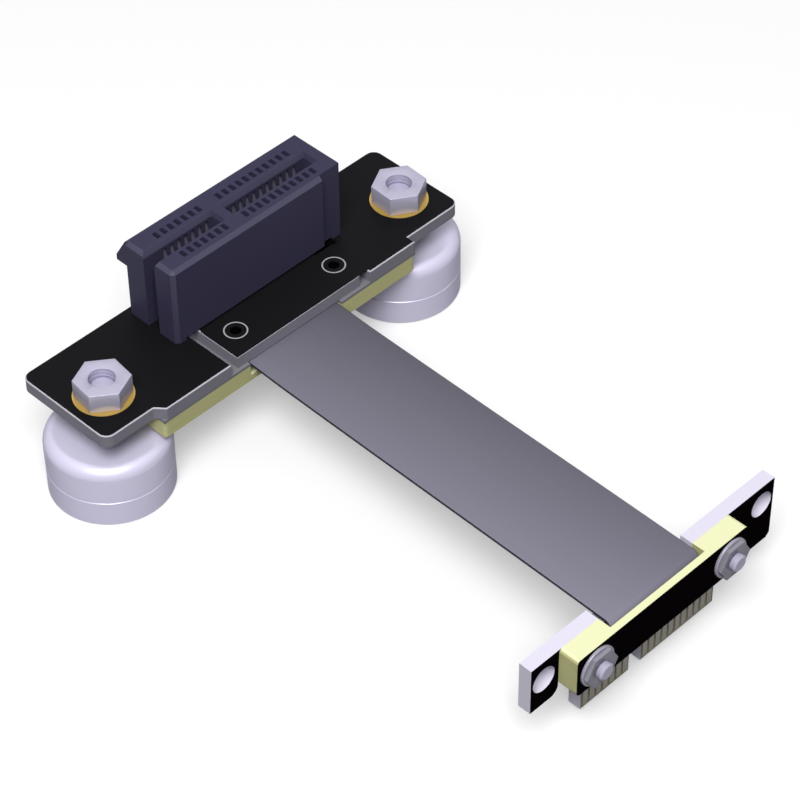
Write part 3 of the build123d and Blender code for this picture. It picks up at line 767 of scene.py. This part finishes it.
# %% Put on the finishes
finishes = {
    "slot_housing": moulded_nylon(), "slot_board": slot_board_mask(), "tongue_film": printed_film(),
    "clamp_film": grey_laminate, "clamp_plate": laminate, "plug_spacer": laminate,
    "plug_cover": black_faced_laminate(), "plug_board": plug_board_mask(),
}
for side in ("left", "right"):
    finishes[f"{side}_pad"] = gilt
    finishes[f"{side}_spacer"] = darkest_nickel
for row in ("front", "rear"):
    finishes[f"slot_contacts_{row}"] = shaded_tin
    finishes[f"tab_fingers_{row}"] = fingers
for end in ("slot", "plug"):
    finishes[f"ribbon_wires_{end}_end"] = shaded_tin

for node, finish in finishes.items():
    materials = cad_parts[node].data.materials
    materials.clear()
    materials.append(finish)
print("finished nodes:", len(finishes))

# %% [markdown]
# ## Stage
#
# The object stands on a plain pale floor with nothing behind it. Floor and world are white to the camera
# and to reflections, but only a dark grey to scattered light, so that they light the object only a little
# from below and from the sides. To the rays that see it directly the floor also glows a little, which
# brings it to white and leaves the object's shadow on it.

# %% Floor and surroundings
FLOOR_HALF = 1.5
FLOOR_SCATTERED, FLOOR_SEEN, FLOOR_GLOW = 0.04, 0.66, 0.35
WORLD_SCATTERED, WORLD_SEEN = (0.12, 0.12, 0.13, 1), (1, 1, 1, 1)


def seen_directly(tree):
    """1 for camera, glossy and transmission rays, and 0 for scattered light."""
    path = add_node(tree, "ShaderNodeLightPath")
    two = add_node(tree, "ShaderNodeMath", {
        0: path.outputs["Is Camera Ray"], 1: path.outputs["Is Glossy Ray"]}, operation="MAXIMUM")
    return add_node(tree, "ShaderNodeMath", {
        0: two.outputs["Value"], 1: path.outputs["Is Transmission Ray"]},
        operation="MAXIMUM").outputs["Value"]


def grey(value):
    """A linear grey as RGBA."""
    return (value, value, value, 1.0)


def pale_floor():
    """Grey by FLOOR_SCATTERED or FLOOR_SEEN, and an emission of FLOOR_GLOW where it is seen directly."""
    material, tree, shader = new_finish("pale_floor", Roughness=1.0, Specular_IOR_Level=0.0)
    directly = seen_directly(tree)
    colour = add_node(tree, "ShaderNodeMix", {
        "Factor": directly, "A": grey(FLOOR_SCATTERED), "B": grey(FLOOR_SEEN)}, data_type="RGBA")
    tree.links.new(colour.outputs["Result"], shader.inputs["Base Color"])
    glow = add_node(tree, "ShaderNodeMath", {0: directly, 1: FLOOR_GLOW}, operation="MULTIPLY")
    tree.links.new(glow.outputs["Value"], shader.inputs["Emission Strength"])
    return material


floor_mesh = bpy.data.meshes.new("floor")
corners = np.array([[-1, -1], [1, -1], [1, 1], [-1, 1]]) * FLOOR_HALF
floor_mesh.from_pydata([(x, y, 0) for x, y in corners], [], [(0, 1, 2, 3)])
floor_mesh.materials.append(pale_floor())
floor = bpy.data.objects.new("floor", floor_mesh)
bpy.context.scene.collection.objects.link(floor)

world = bpy.data.worlds.new("studio")
world.use_nodes = True
bpy.context.scene.world = world
tree = world.node_tree
sky = add_node(tree, "ShaderNodeMix", {
    "Factor": seen_directly(tree), "A": WORLD_SCATTERED, "B": WORLD_SEEN}, data_type="RGBA")
tree.links.new(sky.outputs["Result"], tree.nodes["Background"].inputs["Color"])
print("floor's side, m:", 2 * FLOOR_HALF)

# %% [markdown]
# ## Light
#
# A wide lamp overhead and a second one high in front, on the camera's side, light the tops fully and the
# sides at about two fifths of that. With the second lamp near the camera, most of each shadow falls behind
# the piece that casts it.


# %% Lamps
def lamp(name, azimuth, elevation, distance, size, watts):
    """A square lamp that points at the origin from a direction given in degrees, azimuth 0 being +X."""
    a, e = np.radians([azimuth, elevation])
    place = distance * np.array([np.cos(a) * np.cos(e), np.sin(a) * np.cos(e), np.sin(e)])
    light = bpy.data.lights.new(name, "AREA")
    light.size, light.energy = size, watts
    item = bpy.data.objects.new(name, light)
    aim = Vector(-place).to_track_quat("-Z", "Y").to_matrix().to_4x4()
    item.matrix_world = Matrix.Translation(place) @ aim
    bpy.context.scene.collection.objects.link(item)


LAMPS = {
    "key": {"azimuth": 219, "elevation": 57, "distance": 0.7, "size": 0.36, "watts": 5.0},
    "overhead": {"azimuth": 0, "elevation": 90, "distance": 0.7, "size": 1.2, "watts": 1.7},
}
for name, settings in LAMPS.items():
    lamp(name, **settings)
print("lamps:", len(LAMPS))

# %% [markdown]
# ## Camera
#
# The object is small and is seen without much convergence, so the camera has a long lens and stands about
# a third of a metre off. It looks down from the front left. Its turn is built up from three simple ones,
# the last of them a slight roll about its own line of sight.

# %% Camera
CAMERA_PLACE = (-160.77 * MM, -157.29 * MM, 231.83 * MM)
AZIMUTH, ELEVATION, ROLL = -44.8, 44.02, -0.76
camera_data = bpy.data.cameras.new("camera")
camera_data.lens, camera_data.sensor_width = 135, 36
camera_data.clip_start = 0.01
camera = bpy.data.objects.new("camera", camera_data)
camera.matrix_world = (Matrix.Translation(CAMERA_PLACE) @ Matrix.Rotation(np.radians(AZIMUTH), 4, "Z")
                       @ Matrix.Rotation(np.radians(90 - ELEVATION), 4, "X")
                       @ Matrix.Rotation(np.radians(ROLL), 4, "Z"))
bpy.context.scene.collection.objects.link(camera)
bpy.context.scene.camera = camera
bpy.context.scene.view_settings.view_transform = "Standard"
print("camera's distance, m:", round(float(np.linalg.norm(CAMERA_PLACE)), 2))
